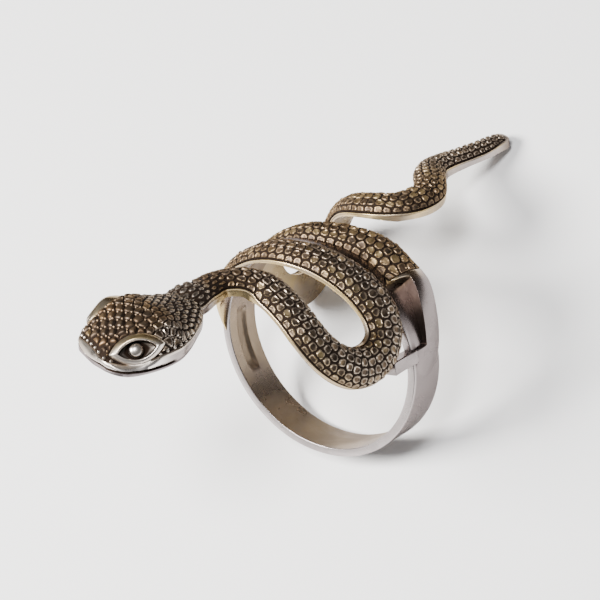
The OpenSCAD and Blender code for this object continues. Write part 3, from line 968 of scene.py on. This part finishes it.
def head_piece():
    """The whole head but for its eyes, from the blunt nose to the nape."""
    up = np.array([0.0, 0.0, 1.0])
    curve = through_rows(HEAD_ROWS)
    line, ways = evenly(curve, curve[:, :3] + up * curve[:, 4:5] * 0.6, HEAD_STEP)
    wide, tall, turn = line.T[3:]
    half, turn = wide / 2, np.radians(turn)
    across = np.stack([np.cos(turn), -np.sin(turn), turn * 0], 1)
    mouth_share, lip_share, lip_wide, mouth_deep = (
        np.interp(ways, LIP_ROWS[:, 0], column) for column in LIP_ROWS.T[1:])
    mouth, lip = mouth_share * tall, lip_share * tall
    shape = np.array([head_outline(*ring) for ring in zip(half, tall, mouth, lip, mouth_deep)])
    points = line[:, None, :3] + shape[..., :1] * across[:, None] + shape[..., 1:] * up
    top, push = points[:, CROWN].copy(), grid_normals(points)[:, CROWN]
    height_share = (shape[:, CROWN, 1] - lip[:, None]) / np.maximum(tall - lip, 1e-6)[:, None]
    arc = gone_by(top)
    border = np.minimum(arc, arc[:, -1:] - arc)

    # Columns of scales at even steps out from the middle of the head, closer together
    # and longer on the neck, where they run out from the nape like leaves
    rng = np.random.default_rng(4)
    apart = 0.80 - 0.36 * smooth(ways, 4.6, 6.8)
    pitch = 0.86 + 0.10 * smooth(ways, 1.0, 3.0) - 0.04 * smooth(ways, 5.5, 7.5)
    gutter = (0.26 - 0.06 * smooth(ways, 3.0, 5.0)) * (1 - smooth(ways, 6.0, 8.0))
    near_lip = lip_wide + gutter + 0.16
    centres = []
    for c in range(-10, 11):
        reach = arc[:, -1] / 2 + c * apart
        inside = (reach > near_lip) & (reach < arc[:, -1] - near_lip) & (ways > 0.5)
        if inside.sum() > 6:
            column = np.array([[np.interp(r, a, part) for part in ring.T]
                               for r, a, ring in zip(reach, arc, top)])
            centres.append(scale_column(column, pitch, inside, c % 2, rng, wobble=0.10))
    centres = squeezed(np.concatenate(centres))

    # The zone of the scales, inside the lip and away from the eyes
    moved, eye_gap = drawn_to_eyes(points, shape[..., 1] - mouth[:, None])
    eye_gap = eye_gap[:, CROWN]
    side_zone, front_zone = border - lip_wide[:, None], ways[:, None] - 0.1
    scale_zone = -0.15 * np.log(np.exp(-side_zone / 0.15) + np.exp(-front_zone / 0.15))
    pads_zone = scale_zone - gutter[:, None]
    plain = 1 - smooth(scale_zone, -0.05, 0.03)
    laid_out = squeezed(top)
    settled = ((pads_zone > 0.0) & (eye_gap > 0.12))[::2, ::2]
    centres = relax(laid_out[::2, ::2][settled], centres, times=2)
    laid_out = laid_out.reshape(-1, 3)
    edge, corner, owner = cell_edges(laid_out, centres, rounding=0.06)
    lean = leaning(laid_out, centres, owner, rng, amount=0.05)
    edge, corner, owner, lean = (v.reshape(border.shape) for v in (edge, corner, owner, lean))
    edge = np.minimum(edge, (eye_gap.clip(-1, 9) - 0.03) * 0.9)
    edge = np.minimum(edge, pads_zone * 0.9)

    # Rounded pebbles on top of the head, dished ones at the cheeks and on the nape, and
    # beads between them and along the lip
    w = ways[:, None]
    over_brow = smooth(height_share, 0.72, 0.90) * (1 - smooth(w, 5.8, 6.8))
    cheek = smooth(w, 3.4, 5.0) * (1 - 0.8 * over_brow)
    front = 1 - smooth(w, 2.2, 3.6)
    round_h, round_c = domed(edge, groove=0.08 + 0.04 * front, shoulder=0.27 + 0.07 * front)
    dish_h, dish_c = dished(edge, groove=0.05)
    dish = cheek * (1 - 0.65 * smooth(w, 5.2, 6.6))
    heights = round_h * (1 - dish) + dish_h * dish
    crests = 0.45 * round_c * (1 - cheek) + round_c * (cheek - dish) + dish_c * dish
    row = bead_row(top, scale_zone, eye_gap, ways)
    bead = 0.85 * smooth(0.20 - corner, 0, 0.12) * (1 - smooth(w, 5.0, 6.5))
    bead = np.maximum(bead * smooth(pads_zone, 0.0, 0.1), row)
    heights = heights + (lean / HEAD_RELIEF) * smooth(edge, 0.06, 0.2)
    heights = np.maximum(np.maximum(heights, bead), plain)
    crests = np.maximum(np.maximum(crests, bead), plain)
    drop = HEAD_RELIEF * (1 + 0.2 * smooth(w, 5.0, 7.0)) * (1 - heights)
    points += moved
    points[:, CROWN] -= drop[..., None] * push

    patina = (1 - plain) * (1 - smooth(row, 0.0, 0.2))
    # Brown on the crown is partly patina and partly a painted reflection of the upper side
    over_crown = {
        "raised": (1, np.clip(heights * 1.2, 0, 1)),
        "rim": (1, crests),
        "tone": (0, rng.uniform(0, 1, len(centres))[owner]),
        "brown": (0, (1 - 0.8 * cheek) * (1 - smooth(w, 5.5, 7.5)) * patina),
        "gold": (0, 0.45 * (1 - cheek) * patina)}
    marks = {}
    for mark, (elsewhere, values) in over_crown.items():
        marks[mark] = np.full(points.shape[:2], float(elsewhere))
        marks[mark][:, CROWN] = values
    # Painted shade: dull silver on the lip and jaw from behind the eye to the neck
    marks["dull"] = np.broadcast_to(0.8 * smooth(w, 3.6, 5.2), points.shape[:2])
    # The mouth line is dark: how raised the jaw's points there count, from its lower end
    for k, mark in enumerate((0.8, 0.1, -0.3, -0.3, -0.3, 0.0, 0.6), 6):
        for at in (CROWN.start - JAW_POINTS + k, CROWN.stop + JAW_POINTS - 1 - k):
            marks["raised"][:, at] = 1 - (1 - mark) * mouth_deep

    # A blunt nose in front of the first ring, closing on the mouth line
    rounds = np.linspace(0.06, 0.96, 12)
    heart = line[0, :3] + np.array([0, 0, mouth[0]])
    ahead = np.array([-math.sin(turn[0]), -math.cos(turn[0]), 0])
    nose = [heart + 0.3 * (1 - t ** 2) * ahead + t * (points[0] - heart) for t in rounds]
    points = clear_of_finger(np.concatenate([nose, points]), sizes().finger / MM)
    marks = {mark: np.concatenate([np.repeat(values[:1], len(rounds), 0), values])
             for mark, values in marks.items()}
    picks = np.zeros((len(points) - 1, points.shape[1]), int)
    picks[:, CROWN.start:CROWN.stop - 1] = 1
    picks[:, :CROWN.start - JAW_POINTS // 2] = picks[:, CROWN.stop + JAW_POINTS // 2 - 1:] = 2
    finishes = [polished_silver("Silver lips with painted highlight"), scaled_silver(),
                polished_silver("Silver jaw with painted shade")]
    add_tube("head", points, finishes, sharp=75, picks=picks, **marks)


def eye_piece(name, way):
    """Almond rim, hollow and round pupil of one eye, as one closed form."""
    s = sizes()
    length, height, pupil = s.eye_length / MM, s.eye_height / MM, s.pupil / MM
    around = 160
    phi = np.linspace(0, 2 * np.pi, around, endpoint=False)
    dx, dy = np.cos(phi), np.sin(phi)
    outer = almond_reach(dx, dy, length, height)
    inner = almond_reach(dx, dy, 0.68 * length, 0.60 * height)
    rings, raised, gold = [], [], []
    # Rings from the foot of the rim, over its crest, to the hollow: share of the way from
    # the outline to the opening, height, and how raised it counts
    for share, high, mark in (
            (0.0, -1.5, 0.0), (0.0, -0.5, 0.0), (0.0, -0.12, 0.4), (0.05, -0.02, 1.0),
            (0.18, 0.06, 1.0), (0.36, 0.13, 1.0), (0.56, 0.18, 1.0), (0.74, 0.20, 1.0),
            (0.88, 0.19, 1.0), (0.96, 0.15, 1.0), (1.0, 0.08, 0.9), (1.02, -0.05, 0.4),
            (1.05, -0.2, 0.1)):
        r = outer + (inner - outer) * share
        # The lid above the eye is broader and stands higher than the one below it
        lid = 0.5 - 0.5 * dx
        over = LID_STANDS[way] * min(1, 0.3 + share)
        if high < -0.4 or share > 1:
            over = 0 if high < -0.4 else 0.1
        rings.append(np.stack([dx * r + 0.10 * min(share, 1), dy * r, high + over * lid], 1))
        runs_on = np.maximum(smooth(dx, -0.1, 0.4) * (share < 0.5), 0.7 * (way < 0 and high > -0.2))
        raised.append(mark + (1 - mark) * runs_on)
        gold.append(smooth(-dx, -0.2, 0.5) * (1 - smooth(np.full(around, share), 0.7, 0.95)))
    hollow, circle = rings[-1], np.stack([dx, dy], 1)
    # Down the hollow towards the pupil: share of the hollow's outline, how raised
    for t, mark in ((0.85, 0.45), (0.7, 0.42), (0.6, 0.4)):
        ring = hollow.copy()
        ring[:, :2] = hollow[:, :2] * t + (circle * pupil * 1.15 + PUPIL_PLACE) * (1 - t)
        ring[:, 2] = -0.2 - 0.12 * (1 - t) / 0.4
        rings.append(ring)
        raised.append(np.full(around, mark))
    # The pupil: share of its radius, height, how raised
    for r, high, mark in ((1.18, -0.32, 0.0), (1.04, -0.3, 0.1), (1.0, -0.15, 0.8),
                          (0.98, 0.0, 1.0), (0.92, 0.1, 1.0), (0.8, 0.2, 1.0),
                          (0.62, 0.28, 1.0), (0.4, 0.33, 1.0), (0.2, 0.355, 1.0)):
        rings.append(np.column_stack([circle * r * pupil + PUPIL_PLACE, np.full(around, high)]))
        raised.append(np.full(around, mark))
    gold += [np.zeros(around)] * (len(rings) - len(gold))
    matrix, origin = eye_frame(way)
    points = origin + np.array(rings) @ matrix.T
    if way < 0:
        points = points[:, ::-1]
    add_tube(name, points, [polished_silver("Polished silver eyes")], sharp=60, flip=way > 0,
             raised=np.array(raised), gold=np.array(gold))


class SNAKERING_OT_head(bpy.types.Operator):
    """Head with pebbled scales, lips and mouth line"""

    bl_idname = "snake_ring.head"
    bl_label = "Head"

    def execute(self, context):
        head_piece()
        return {"FINISHED"}


class SNAKERING_OT_eyes(bpy.types.Operator):
    """Both eyes: almond rims, hollows and round pupils"""

    bl_idname = "snake_ring.eyes"
    bl_label = "Eyes"

    def execute(self, context):
        eye_piece("eye_right", 1)
        eye_piece("eye_left", -1)
        return {"FINISHED"}


# The hoop


def band_piece():
    """The plain band: crisp softened edges, a slightly crowned outside, and the shallow
    recess in its left inside wall."""
    s = sizes()
    inner, half, turn = s.finger / MM, s.band_width / MM / 2, s.band_turn
    outer, soft, inside_n = inner + s.band_thickness / MM, 0.07, 48
    corner = [(math.cos(a), math.sin(a)) for a in np.linspace(0, math.pi / 2, 5)]
    # Radius and place along the finger: the inside, the rear edge, the outside, which is
    # slightly crowned, and the front edge
    section = [(inner, share * (half - soft)) for share in np.linspace(-1, 1, inside_n)]
    section += [(inner + soft - soft * c, half - soft + soft * d) for c, d in corner[1:]]
    section += [(outer - soft + soft * d, half - soft + soft * c) for c, d in corner]
    section += [(outer - 0.015 * share ** 2, share * (half - soft))
                for share in np.linspace(1, -1, 13)[1:-1]]
    section += [(outer - soft + soft * c, -half + soft - soft * d) for c, d in corner]
    section += [(inner + soft - soft * d, -half + soft - soft * c) for c, d in corner[:-1]]
    r, y = np.array(section).T
    theta = np.linspace(0, 2 * np.pi, 720, endpoint=False)[:, None]
    angle = np.degrees(theta)
    inside = np.arange(len(section)) < inside_n
    recess = (smooth(angle, 172, 180) * (1 - smooth(angle, 206, 214))
              * smooth(0.6 - np.abs(y + 0.1), 0, 0.3) * inside)
    radius = r + 0.25 * recess
    x, z = radius * np.cos(theta), radius * np.sin(theta)
    along = (y + x * math.sin(turn)) / math.cos(turn)
    along = along + (0.012 * np.sin(5 * theta + 1) + 0.008 * np.sin(11 * theta))
    # Painted shade and reflection: darker outside and on the inside walls, bright on the front
    # face and inside below, brown inside on the right, and painted shade in the crevice by the
    # bridge
    shade_by_bridge = np.exp(-((angle - 14) / 7) ** 2) * (y < -0.9)
    front_face = y < -half + 1.5 * soft
    low_down = smooth(-np.sin(np.radians(angle)), 0.5, 0.95)
    right = np.cos(np.radians(angle)) > 0
    add_tube("band", np.stack([x, along, z], -1),
             [polished_silver("Polished silver band"), polished_silver("Tarnished silver inside with painted shade")],
             sharp=40, picks=np.broadcast_to(inside, x.shape), closed=True,
             raised=np.clip(1 - 0.3 * recess - 0.55 * shade_by_bridge, 0, 1),
             dull=np.where(inside, 0.95 * (1 - low_down), np.where(front_face, 0.1, 0.8)),
             brown=np.where(inside, (0.15 + 0.3 * right) * (1 - low_down), 0))


def saddle_piece():
    """Plate that joins the two arches under the groove between them."""
    inner = sizes().finger / MM + CLEARANCE
    outer, front, back, soft = inner + 0.5, -3.5, -0.1, 0.06
    section = [(inner, front), (inner, back), (inner + 0.46, back), (outer, back - soft),
               (outer, front + soft), (inner + 0.46, front)]
    points = np.array([[(r * math.cos(t), y, r * math.sin(t)) for r, y in section]
                       for t in np.radians(np.linspace(62.5, 137.5, 90))])
    add_tube("saddle", points, [polished_silver("Dark silver groove")], sharp=40, raised=0.75)


def bridge_piece():
    """Block that ties the right loop to the band, with softened edges."""
    low = sizes().finger / MM + CLEARANCE
    high, front, back, half, soft = low + 1.19, -3.6, -0.62, 0.55, 0.1
    middle = (low + high) / 2
    corners = ((high - soft, half - soft, 0), (low + soft, half - soft, 90),
               (low + soft, -half + soft, 180), (high - soft, -half + soft, 270))
    outline = [(cx + soft * math.cos(a), cy + soft * math.sin(a)) for cx, cy, start in corners
               for a in np.radians(np.linspace(start, start + 90, 6))]
    places = [(front, -0.08), (front + 0.08, 0.0),
              *((y, 0.0) for y in np.linspace(front + 0.3, back - 0.3, 8)),
              (back - 0.08, 0.0), (back, -0.08)]
    rings = []
    for y, grow in places:
        sag = 0.10 * (1 - ((y - (front + back) / 2) / ((back - front) / 2)) ** 2)
        rings.append([((middle + (r - middle) * (1 + grow)) - (sag if r > middle else 0), y,
                       t * (1 + grow) * (1 - 0.06 * sag)) for r, t in outline])
    points = clear_of_finger(np.array(rings) @ rotation(1, -14).T, low)
    add_tube("bridge", points, [polished_silver("Polished silver sides")], sharp=50, flip=True,
             raised=0.95, dull=0.5)


class SNAKERING_OT_hoop(bpy.types.Operator):
    """Band, saddle between the arches, and bridge to the right loop"""

    bl_idname = "snake_ring.hoop"
    bl_label = "Hoop"

    def execute(self, context):
        band_piece()
        saddle_piece()
        bridge_piece()
        return {"FINISHED"}


# The stage


def aimed(name, data, place, target):
    """A new object in the scene that faces a target and isn't seen itself."""
    made = bpy.data.objects.new(name, data)
    bpy.context.scene.collection.objects.link(made)
    made.location = place
    made.rotation_euler = (Vector(place) - Vector(target)).to_track_quat("Z", "Y").to_euler()
    made.visible_camera = False
    return made


def stage_card(name, place, target, width, height, colour, strength):
    """A glowing card that lights the metal and that no camera sees."""
    mesh = bpy.data.meshes.new(name)
    w, h = width / 2, height / 2
    mesh.from_pydata([(-w, -h, 0), (w, -h, 0), (w, h, 0), (-w, h, 0)], [], [(0, 1, 2, 3)])
    material, n, shader = start_material(name + " card")
    n.feed(shader, {"Base Color": (0, 0, 0), "Roughness": 1.0,
                    "Emission Color": colour, "Emission Strength": strength})
    mesh.materials.append(material)
    card = aimed(name, mesh, place, target)
    card.visible_diffuse = card.visible_shadow = False


def area_light(name, place, target, size, power, colour):
    light = bpy.data.lights.new(name, "AREA")
    light.shape = "DISK"
    light.size, light.energy, light.color = size, power, colour
    aimed(name, light, place, target)


def view_axes():
    """Right, up and backward axes of the photo's camera, round the finger."""
    a, e = math.radians(VIEW_TURN), math.radians(VIEW_RISE)
    back = np.array([math.sin(a) * math.cos(e), -math.cos(a) * math.cos(e), math.sin(e)])
    right = np.array([math.cos(a), math.sin(a), 0])
    return right, np.cross(back, right), back


class SNAKERING_OT_stage(bpy.types.Operator):
    """Pale floor, soft studio light and the photo's camera"""

    bl_idname = "snake_ring.stage"
    bl_label = "Stage"

    def execute(self, context):
        floor_mesh = bpy.data.meshes.new("floor")
        reach, sides = 0.32, 64
        ring = [(reach * math.cos(t), reach * math.sin(t), 0)
                for t in np.linspace(0, 2 * np.pi, sides, endpoint=False)]
        floor_mesh.from_pydata(ring, [], [tuple(range(sides))])
        floor = bpy.data.objects.new("floor", floor_mesh)
        context.scene.collection.objects.link(floor)
        material, n, shader = start_material("Pale floor")
        n.feed(shader, {"Base Color": finish_colours().floor, "Roughness": 0.9})
        floor_mesh.materials.append(material)

        world = bpy.data.worlds.new("Studio")
        context.scene.world = world
        world.use_nodes = True
        sky = world.node_tree.nodes["Background"].inputs
        sky["Color"].default_value, sky["Strength"].default_value = (0.93, 0.95, 1.0, 1), 0.25

        area_light("key", (-0.16, -0.20, 0.30), (0, 0, 0.01), 0.16, 4.8, (1.0, 0.98, 0.94))
        area_light("top", (0.04, -0.05, 0.40), (0, 0, 0.01), 0.10, 1.6, (1.0, 0.99, 0.98))
        brown, white = (0.06, 0.04, 0.025), (1, 0.99, 0.96)
        stage_card("dark_back", (-0.02, 0.27, 0.05), (0, 0, 0.02), 0.6, 0.2, brown, 1.0)
        stage_card("dark_floor", (-0.06, 0.17, 0.0015), (-0.06, 0.17, 1), 0.5, 0.2, brown, 1.0)
        stage_card("dark_left", (-0.2, 0.0, 0.0015), (-0.2, 0.0, 1), 0.22, 0.14, brown, 1.0)
        stage_card("white_front", (-0.12, -0.22, 0.05), (0, 0, 0.02), 0.3, 0.12, white, 2.0)
        stage_card("white_left", (-0.26, -0.10, 0.03), (0, 0, 0.015), 0.14, 0.1, white, 3.5)

        right, up, back = view_axes()
        lens = bpy.data.cameras.new("photo_camera")
        lens.sensor_width = SENSOR_MM
        lens.lens = SENSOR_MM * FOCAL_PIXELS / FRAME_PIXELS
        lens.clip_start, lens.clip_end = 0.01, 5.0
        camera = bpy.data.objects.new("photo_camera", lens)
        context.scene.collection.objects.link(camera)
        matrix = Matrix((REST @ np.stack([right, up, back], 1)).tolist()).to_4x4()
        place = at_rest(right * VIEW_RIGHT + up * VIEW_UP + back * VIEW_FAR)
        matrix.translation = Vector(place.tolist())
        camera.matrix_world = matrix
        context.scene.camera = camera
        return {"FINISHED"}


class SNAKERING_PT_panel(bpy.types.Panel):
    """Pieces, sizes and colours of the snake ring"""

    bl_idname = "SNAKERING_PT_panel"
    bl_label = "Snake Ring"
    bl_space_type = "VIEW_3D"
    bl_region_type = "UI"
    bl_category = "Snake Ring"

    def draw(self, context):
        layout = self.layout
        for operator in PIECES:
            layout.operator(operator.bl_idname)
        for group, title in ((context.scene.snake_ring_sizes, "Sizes"),
                             (context.scene.snake_ring_finish, "Colours")):
            box = layout.box()
            box.label(text=title)
            for key in group.bl_rna.properties.keys():
                if key not in {"rna_type", "name"}:
                    box.prop(group, key)


PIECES = (
    SNAKERING_OT_front_body,
    SNAKERING_OT_rear_body,
    SNAKERING_OT_head,
    SNAKERING_OT_eyes,
    SNAKERING_OT_hoop,
    SNAKERING_OT_stage,
)
CLASSES = (SnakeRingSizes, SnakeRingFinish, *PIECES, SNAKERING_PT_panel)


def register():
    for cls in CLASSES:
        bpy.utils.register_class(cls)
    bpy.types.Scene.snake_ring_sizes = PointerProperty(type=SnakeRingSizes)
    bpy.types.Scene.snake_ring_finish = PointerProperty(type=SnakeRingFinish)


def unregister():
    del bpy.types.Scene.snake_ring_finish
    del bpy.types.Scene.snake_ring_sizes
    for cls in reversed(CLASSES):
        bpy.utils.unregister_class(cls)


def main():
    register()
    bpy.ops.snake_ring.front_body()
    bpy.ops.snake_ring.rear_body()
    bpy.ops.snake_ring.head()
    bpy.ops.snake_ring.eyes()
    bpy.ops.snake_ring.hoop()
    bpy.ops.snake_ring.stage()


if __name__ == "__main__":
    main()
